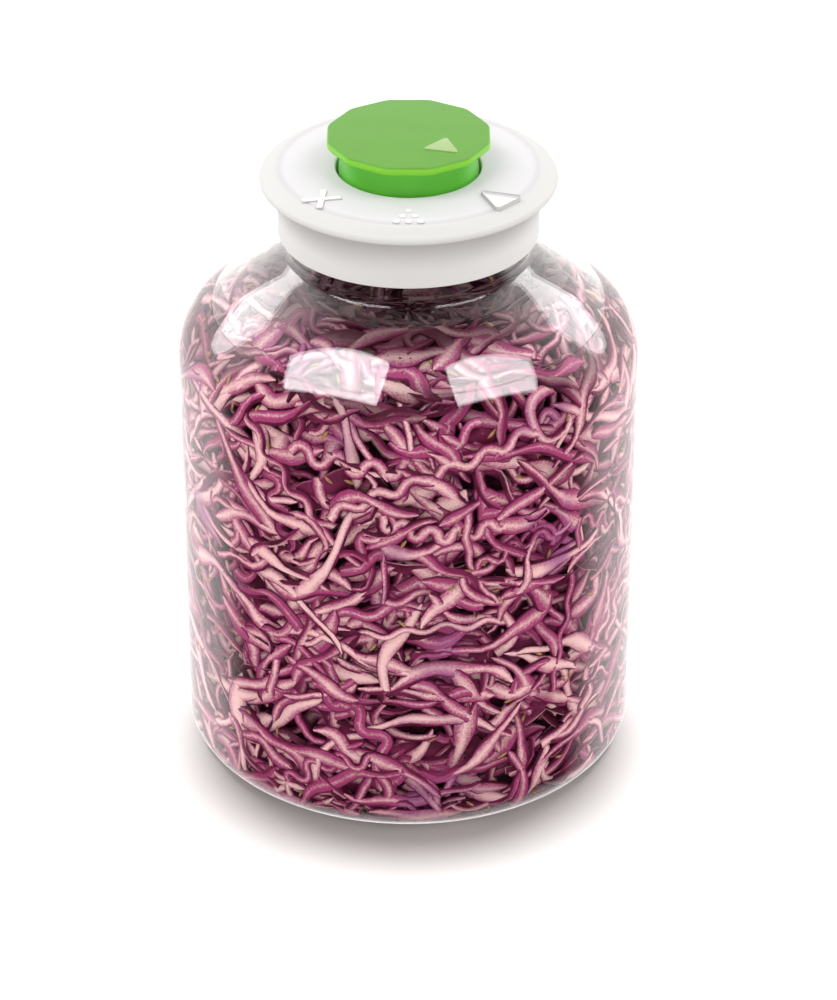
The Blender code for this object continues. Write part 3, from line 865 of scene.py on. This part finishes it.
def core_profile():
    """The heap's skin, a few millimetres further in."""
    ring = [rolled(0.0, run, CORE_DEPTH) for run in SKIN_RUN[::CORE_EVERY]]
    points = [(max(float(p[0]), AXIS_R), float(p[2])) for p in ring]
    inner = [p for p in points if p[0] > AXIS_R]
    return [(AXIS_R, inner[0][1])] + inner + [(AXIS_R, inner[-1][1])]


def core_material():
    made, tree, shader = plain_material("cabbage_core", SKIN_DARK, 0.8)
    shader.inputs["Specular IOR Level"].default_value = 0.1
    share = ramp_between(tree, noise_at(tree, 160.0, 4.0), 0.42, 0.68)
    colour = blend_colours(tree, share, CORE_DARK, CORE_BRIGHT)
    link(tree, colour, shader.inputs["Base Color"])
    add_bump(tree, shader, noise_at(tree, 260.0), 0.8, 2 * MM)
    return made


core = turned("cabbage_core", core_profile(), CORE_STEPS)
finish(core, core_material(), "jar", "red_cabbage", "cabbage")

# %% Caraway seeds
SEED_COUNT, SEED_SIDES, SEED_STATIONS = 300, 6, 7
SEED_LONG, SEED_FAT = (4.0, 5.6), 0.62 * MM
SEED_BROWN, SEED_DARK, SEED_YELLOW = (0.33, 0.17, 0.05), (0.16, 0.07, 0.02), (0.50, 0.32, 0.13)


def seeds(count):
    """Thin crescent seeds, each a swept ring that narrows at both ends."""
    share = np.linspace(0, 1, SEED_STATIONS)[None, :]
    long = draw.uniform(*SEED_LONG, (count, 1)) * MM
    angle = draw.uniform(0, 2 * math.pi, (count, 1))
    run = draw.uniform(*REACH, (count, 1))
    way = draw.uniform(0, 2 * math.pi, (count, 1)) + draw.uniform(-0.5, 0.5, (count, 1)) * share
    x = np.cumsum(np.cos(way), axis=1) * long / SEED_STATIONS
    y = np.cumsum(np.sin(way), axis=1) * long / SEED_STATIONS
    under = draw.uniform(0.9, 2.2, (count, 1)) * MM
    line = {"angle": angle, "run": run, "x": x, "y": y, "way": way, "under": under}
    fat = SEED_FAT * np.maximum(np.sin(math.pi * share) ** 0.6, 0.12) * np.ones((count, 1))
    turn = np.arange(SEED_SIDES) * 2 * math.pi / SEED_SIDES
    points, _ = swept(line, fat[..., None] * np.cos(turn), fat[..., None] * np.sin(turn))
    rib = np.broadcast_to(np.arange(SEED_SIDES) % 2, points.shape[:3])
    return mesh_from("caraway_seeds", points, strand_faces(*rib.shape), rib=rib)


def seed_material():
    made, tree, shader = plain_material("caraway", SEED_BROWN, 0.5)
    share = add_numbers(tree, noise_at(tree, 500.0), read_attribute(tree, "rib"), 0.35)
    colour = blend_colours(tree, ramp_between(tree, share, 0.3, 0.9), SEED_DARK, SEED_YELLOW)
    link(tree, colour, shader.inputs["Base Color"])
    return made


finish(seeds(SEED_COUNT), seed_material(), "jar", "red_cabbage")

# %% [markdown]
# The lid
#
# One white moulding: a collar that hides the neck, a broad flange whose rim rolls down, and a
# shallow groove round its plate. A turned piece again, with the sizes of the solid and finer rounds.
# The plastic is satin, faintly grained. Its colour has light and shade painted in: plate, rim and
# collar get slightly different greys for how the light falls on them, and the groove and the nook
# under the flange get a darker painted shade. Mirrors leave the lid out, because the cone would show
# it as a white veil.

# %% Lid profile
COLLAR_R, COLLAR_WALL, COLLAR_Z = 49.0 * MM, 2.6 * MM, 216.0 * MM
PLATE_TOP, PLATE_UNDER, FLANGE_UNDER = 242.5 * MM, 235.4 * MM, 236.6 * MM
HOLE_R, WELL_FLOOR, WELL_SKIN = 27.1 * MM, 230.2 * MM, 2.2 * MM
HOLE_EDGE, FLANGE_ROLL, COLLAR_FOOT = 0.7 * MM, 1.6 * MM, 0.7 * MM
# Rings of the plate: each radius, and how far it lies below the plate's top, in mm.
PLATE_RINGS = (
    (34.0, 0.10),
    (42.0, 0.10),
    (47.4, 0.15),
    (48.2, 0.45),
    (48.8, 0.45),
    (49.7, 0.25),
    (51.0, 0.6),
    (52.6, 1.5),
)


def lid_profile():
    """From the well's floor over the plate and flange, down the collar and back inside."""
    well = [(AXIS_R, WELL_FLOOR), (HOLE_R, WELL_FLOOR)]
    well += arc(HOLE_R + HOLE_EDGE, PLATE_TOP - HOLE_EDGE, HOLE_EDGE, 180, 90, 5)
    plate = [(radius * MM, PLATE_TOP - drop * MM) for radius, drop in PLATE_RINGS]
    edge = arc(FLANGE_R - FLANGE_ROLL, FLANGE_UNDER + FLANGE_ROLL, FLANGE_ROLL, 70, -90, 12)
    collar = [(COLLAR_R + 1.6 * MM, FLANGE_UNDER - 0.05 * MM)]
    collar += arc(COLLAR_R + 1.2 * MM, FLANGE_UNDER - 1.3 * MM, 1.2 * MM, 90, 180, 5)
    collar += arc(COLLAR_R - COLLAR_FOOT, COLLAR_Z + COLLAR_FOOT, COLLAR_FOOT, 0, -90, 4)
    inner = COLLAR_R - COLLAR_WALL
    collar += [(inner, COLLAR_Z), (inner, PLATE_UNDER)]
    outer_well = HOLE_R + WELL_SKIN
    under = [(outer_well, PLATE_UNDER), (outer_well, WELL_FLOOR - WELL_SKIN)]
    return well + plate + edge + collar + under + [(AXIS_R, WELL_FLOOR - WELL_SKIN)]


print("lid profile:", len(lid_profile()), "rings")

# %% Satin plastic
UNEVEN = 0.04


def mould_grain(tree, shader):
    """The fine grain that the mould leaves."""
    add_bump(tree, shader, noise_at(tree, 2200.0), 0.05, 0.4 * MM)


def flat_share(tree):
    """1 where a face lies flat, 0 where it stands upright."""
    shape = tree.nodes.new("ShaderNodeNewGeometry")
    parts = tree.nodes.new("ShaderNodeSeparateXYZ")
    link(tree, shape.outputs["Normal"], parts.inputs[0])
    return ramp_between(tree, parts.outputs["Z"], 0.25, 0.9)


def moulded_plastic(name, colour, roughness, upright=None):
    """Satin plastic, slightly uneven, with another colour where it stands upright: painted shade on
    the lid's marks, painted light on the knob's head.
    """
    made, tree, shader = plain_material(name, colour, roughness)
    shade = tuple(c * (1 - UNEVEN) for c in colour)
    share = ramp_between(tree, noise_at(tree, 70.0, 5.0), 0.35, 0.65)
    mixed = blend_colours(tree, share, shade, colour)
    if upright:
        mixed = blend_colours(tree, flat_share(tree), upright, mixed)
    link(tree, mixed, shader.inputs["Base Color"])
    mould_grain(tree, shader)
    return made


# %% Lid
# Painted light and shade: the lid is one white, and these greys paint how light falls on plate, rim
# and collar, with painted shade in the groove and the nook.
LID_PLATE, LID_GROOVE_SHADE, LID_RIM = (0.72, 0.705, 0.73), (0.64, 0.63, 0.645), (0.68, 0.67, 0.66)
LID_COLLAR, LID_NOOK_SHADE = (0.78, 0.77, 0.76), (0.45, 0.435, 0.43)
GROOVE_IN, GROOVE_OUT = (46.0 * MM, 48.2 * MM), (50.2 * MM, 48.4 * MM)
NOOK_DEEP = 15 * MM


def both(tree, first, second):
    """One share times another."""
    node = tree.nodes.new("ShaderNodeMath")
    node.operation = "MULTIPLY"
    link(tree, first, node.inputs[0])
    link(tree, second, node.inputs[1])
    return node.outputs[0]


def lid_material():
    """Satin white with painted light and shade: its own grey for plate, rim and collar, painted
    shade in the groove, darkest in the nook under the flange.
    """
    made, tree, shader = plain_material("lid_white", LID_RIM, 0.55)
    place = tree.nodes.new("ShaderNodeTexCoord")
    parts = tree.nodes.new("ShaderNodeSeparateXYZ")
    level = tree.nodes.new("ShaderNodeMapping")
    level.inputs["Scale"].default_value = (1, 1, 0)
    span = tree.nodes.new("ShaderNodeVectorMath")
    span.operation = "LENGTH"
    link(tree, place.outputs["Object"], parts.inputs[0])
    link(tree, place.outputs["Object"], level.inputs[0])
    link(tree, level.outputs[0], span.inputs[0])
    radius, height = span.outputs["Value"], parts.outputs["Z"]
    top = blend_colours(tree, ramp_between(tree, radius, 48.2 * MM, 50.4 * MM), LID_PLATE, LID_RIM)
    groove = both(
        tree,
        ramp_between(tree, radius, *GROOVE_IN),
        ramp_between(tree, radius, *GROOVE_OUT),
    )
    top = blend_colours(tree, groove, top, LID_GROOVE_SHADE)
    nook = ramp_between(tree, height, FLANGE_UNDER - NOOK_DEEP, FLANGE_UNDER)
    collar = blend_colours(tree, nook, LID_COLLAR, LID_NOOK_SHADE)
    on_collar = ramp_between(tree, radius, COLLAR_R + 2.2 * MM, COLLAR_R + 0.8 * MM)
    under = both(tree, on_collar, ramp_between(tree, height, FLANGE_UNDER + 1 * MM, FLANGE_UNDER))
    link(tree, blend_colours(tree, under, top, collar), shader.inputs["Base Color"])
    mould_grain(tree, shader)
    return made


lid = turned("lid_moulding", lid_profile())
lid.visible_glossy = False
finish(lid, lid_material(), "jar", "white_plastic", "lid")

# %% [markdown]
# The marks on the lid
#
# Three raised marks say how the valve stands: a cross for shut, six dots for
# fermenting and a triangle for open. The cross is two bevelled bars, the dots are
# flattened domes, and the triangle is a three-sided prism with rounded corners.

# %% Raised marks
MARK_RISE, MARK_SINK = 0.6 * MM, 0.5 * MM
MARK_SPREAD, DOTS_DEG = 47.5, -90.0
CROSS_DEG, ARROW_DEG = DOTS_DEG - MARK_SPREAD, DOTS_DEG + MARK_SPREAD
CROSS_AT, CROSS_SPAN, CROSS_WIDTH = 43.1 * MM, 14.8 * MM, 2.4 * MM
CROSS_FACING, CROSS_OPEN, BAR_STEP = -132.5, 74.0, 0.02 * MM
DOT_R, DOT_PITCH, DOT_FIRST, DOT_ROW = 1.5 * MM, 4.4 * MM, 38.2 * MM, 4.3 * MM
ARROW_TIP, ARROW_BASE, ARROW_HALF = 35.2 * MM, 50.2 * MM, 7.2 * MM
ARROW_CORNER, ARROW_EDGE = 2.2 * MM, 0.3 * MM
# Painted shade: the marks' upright sides are darker, so they stand out from the plate.
MARK_FLAT, MARK_SIDE_SHADE = (0.88, 0.875, 0.88), (0.60, 0.59, 0.60)
MARK_WHITE = moulded_plastic("mark_white", MARK_FLAT, 0.36, MARK_SIDE_SHADE)


def polar(radius, degrees, side=0.0):
    """A point at this radius and angle, moved sideways from that radius line."""
    a = math.radians(degrees)
    x = radius * math.cos(a) - side * math.sin(a)
    y = radius * math.sin(a) + side * math.cos(a)
    return x, y


def apply_all(made):
    deselect()
    made.select_set(True)
    bpy.context.view_layer.objects.active = made
    bpy.ops.object.transform_apply(location=True, rotation=True, scale=True)
    for modifier in list(made.modifiers):
        bpy.ops.object.modifier_apply(modifier=modifier.name)
    return made


def bevelled(made, width, segments=4, angle=40):
    """A rounded edge all round, applied."""
    bevel = made.modifiers.new("round", "BEVEL")
    bevel.width = width
    bevel.segments = segments
    bevel.limit_method = "ANGLE"
    bevel.angle_limit = math.radians(angle)
    apply_all(made)
    bpy.ops.object.shade_smooth_by_angle(angle=math.radians(35))
    return made


def round_corners(made, least_rise, width, segments):
    """Rounds the upright edges, which rise by more than least_rise."""
    bpy.ops.object.mode_set(mode="EDIT")
    bpy.ops.mesh.select_all(action="DESELECT")
    bpy.ops.object.mode_set(mode="OBJECT")
    for edge in made.data.edges:
        a, b = (made.data.vertices[i].co for i in edge.vertices)
        edge.select = abs(a.z - b.z) > least_rise
    bpy.ops.object.mode_set(mode="EDIT")
    bpy.ops.mesh.select_mode(type="EDGE")
    bpy.ops.mesh.bevel(offset=width, segments=segments, affect="EDGES")
    bpy.ops.object.mode_set(mode="OBJECT")


def joined(name, pieces):
    deselect()
    for piece in pieces:
        piece.select_set(True)
    bpy.context.view_layer.objects.active = pieces[0]
    bpy.ops.object.join()
    bpy.context.object.name = name
    return bpy.context.object


def cross_mark():
    x, y = polar(CROSS_AT, CROSS_DEG)
    bars = []
    for number in range(2):
        deselect()
        middle = PLATE_TOP + (MARK_RISE - MARK_SINK) / 2 - number * BAR_STEP
        bpy.ops.mesh.primitive_cube_add(size=1, location=(x, y, middle))
        bar = bpy.context.object
        bar.scale = (CROSS_SPAN, CROSS_WIDTH, MARK_RISE + MARK_SINK)
        bar.rotation_euler.z = math.radians(CROSS_FACING + CROSS_OPEN * (number - 0.5))
        apply_all(bar)
        bars.append(bevelled(bar, 0.35 * MM))
    return joined("mark_cross", bars)


def dot_marks():
    dots = []
    for row in range(3):
        for k in range(row + 1):
            x, y = polar(DOT_FIRST + row * DOT_ROW, DOTS_DEG, (k - row / 2) * DOT_PITCH)
            deselect()
            bpy.ops.mesh.primitive_uv_sphere_add(
                segments=28, ring_count=16, radius=DOT_R, location=(x, y, PLATE_TOP - 0.2 * MM)
            )
            dot = bpy.context.object
            dot.scale.z = (MARK_RISE + 0.25 * MM) / DOT_R
            apply_all(dot)
            bpy.ops.object.shade_smooth()
            dots.append(dot)
    return joined("mark_dots", dots)


def triangle(name, corners, low, high, corner_round, edge_round):
    """A rounded three-sided prism: a triangular cylinder whose corners are moved in place."""
    deselect()
    bpy.ops.mesh.primitive_cylinder_add(
        vertices=3, radius=1, depth=high - low, location=(0, 0, (low + high) / 2)
    )
    made = bpy.context.object
    made.name = name
    apply_all(made)
    spokes = sorted({round(math.atan2(v.co.y, v.co.x), 3) for v in made.data.vertices})
    mid_x, mid_y = (sum(values) / len(corners) for values in zip(*corners))
    order = sorted(corners, key=lambda c: math.atan2(c[1] - mid_y, c[0] - mid_x))
    for vert in made.data.vertices:
        spoke = round(math.atan2(vert.co.y, vert.co.x), 3)
        vert.co.x, vert.co.y = order[spokes.index(spoke)]
    bpy.ops.object.mode_set(mode="EDIT")
    bpy.ops.mesh.select_all(action="SELECT")
    bpy.ops.mesh.normals_make_consistent(inside=False)
    round_corners(made, (high - low) / 2, corner_round, 8)
    return bevelled(made, edge_round, 4, 60)


def arrow_corners(tip, base, half, degrees):
    """The tip and the two ends of the base, with the tip nearer to the axis or further out."""
    return [polar(tip, degrees), polar(base, degrees, half), polar(base, degrees, -half)]


finish(cross_mark(), MARK_WHITE, "jar", "white_plastic")
finish(dot_marks(), MARK_WHITE, "jar", "white_plastic")
lid_arrow = triangle(
    "mark_triangle",
    arrow_corners(ARROW_TIP, ARROW_BASE, ARROW_HALF, ARROW_DEG),
    PLATE_TOP - MARK_SINK,
    PLATE_TOP + MARK_RISE,
    ARROW_CORNER,
    ARROW_EDGE,
)
finish(lid_arrow, MARK_WHITE, "jar", "white_plastic")

# %% [markdown]
# The knob
#
# A flat head with twelve straight sides, softly rounded, over a round skirt that
# flares down into the well. The head starts as a twelve-sided cylinder: its upright
# edges are bevelled first, then the two rims. The skirt is turned. The knob's top
# is smooth. The pale pointer triangle stands a little proud of it. The head's edges
# catch light, so they are painted brighter than its top. Soft light leaves the head
# out, because its underside would darken the skirt and tint the white lid.

# %% Knob and pointer
KNOB_SIDES, KNOB_CORNER, KNOB_EDGE = 12, 2.0 * MM, 1.15 * MM
KNOB_UNDER = 252.3 * MM
WAIST_R, SKIRT_R = 25.0 * MM, 26.1 * MM
POINTER_TIP, POINTER_BASE, POINTER_HALF = 25.2 * MM, 12.8 * MM, 6.8 * MM
POINTER_SINK, POINTER_CORNER, POINTER_EDGE = 0.5 * MM, 1.9 * MM, 0.3 * MM
HEAD_TOP, HEAD_EDGE = (0.104, 0.325, 0.020), (0.22, 0.66, 0.030)
SLEEVE_COLOUR, POINTER_COLOUR = (0.125, 0.62, 0.040), (0.32, 0.48, 0.165)


def knob_head():
    deselect()
    corner_r = KNOB_FLAT / math.cos(math.pi / KNOB_SIDES)
    bpy.ops.mesh.primitive_cylinder_add(
        vertices=KNOB_SIDES,
        radius=corner_r,
        depth=KNOB_TOP - KNOB_UNDER,
        location=(0, 0, (KNOB_TOP + KNOB_UNDER) / 2),
        rotation=(0, 0, math.pi / KNOB_SIDES),
    )
    head = apply_all(bpy.context.object)
    round_corners(head, MM, KNOB_CORNER, 6)
    return bevelled(head, KNOB_EDGE, 6, 60)


def knob_skirt():
    """Up from just above the well's floor, in at the waist and out under the head."""
    foot_z, foot_round = WELL_FLOOR + 0.3 * MM, 0.6 * MM
    profile = [
        (AXIS_R, foot_z),
        (SKIRT_R - foot_round, foot_z),
        (SKIRT_R, foot_z + foot_round),
        (SKIRT_R, PLATE_TOP - 0.5 * MM),
        (WAIST_R + 0.75 * MM, PLATE_TOP + 2.0 * MM),
        (WAIST_R + 0.4 * MM, KNOB_UNDER - 5.5 * MM),
        (WAIST_R, KNOB_UNDER - 3.2 * MM),
    ]
    profile += arc(WAIST_R + 1.8 * MM, KNOB_UNDER - 1.7 * MM, 1.8 * MM, 180, 95, 6)
    profile += [(WAIST_R + 1.8 * MM, KNOB_UNDER + 1 * MM), (AXIS_R, KNOB_UNDER + 1 * MM)]
    return turned("knob_sleeve", profile)


KNOB_GREEN = moulded_plastic("knob_green", HEAD_TOP, 0.46, HEAD_EDGE)
SLEEVE_GREEN = moulded_plastic("sleeve_green", SLEEVE_COLOUR, 0.4)
POINTER_GREEN = moulded_plastic("pointer_green", POINTER_COLOUR, 0.32)
knob = knob_head()
knob.name = "knob_moulding"
knob.visible_diffuse = False
finish(knob, KNOB_GREEN, "knob", "green_plastic", "knob")
finish(knob_skirt(), SLEEVE_GREEN, "knob", "green_plastic")
pointer = triangle(
    "pointer_inlay",
    arrow_corners(POINTER_TIP, POINTER_BASE, POINTER_HALF, ARROW_DEG),
    KNOB_TOP - POINTER_SINK,
    POINTER_TOP,
    POINTER_CORNER,
    POINTER_EDGE,
)
finish(pointer, POINTER_GREEN, "knob", "pale_green_plastic", "pointer")
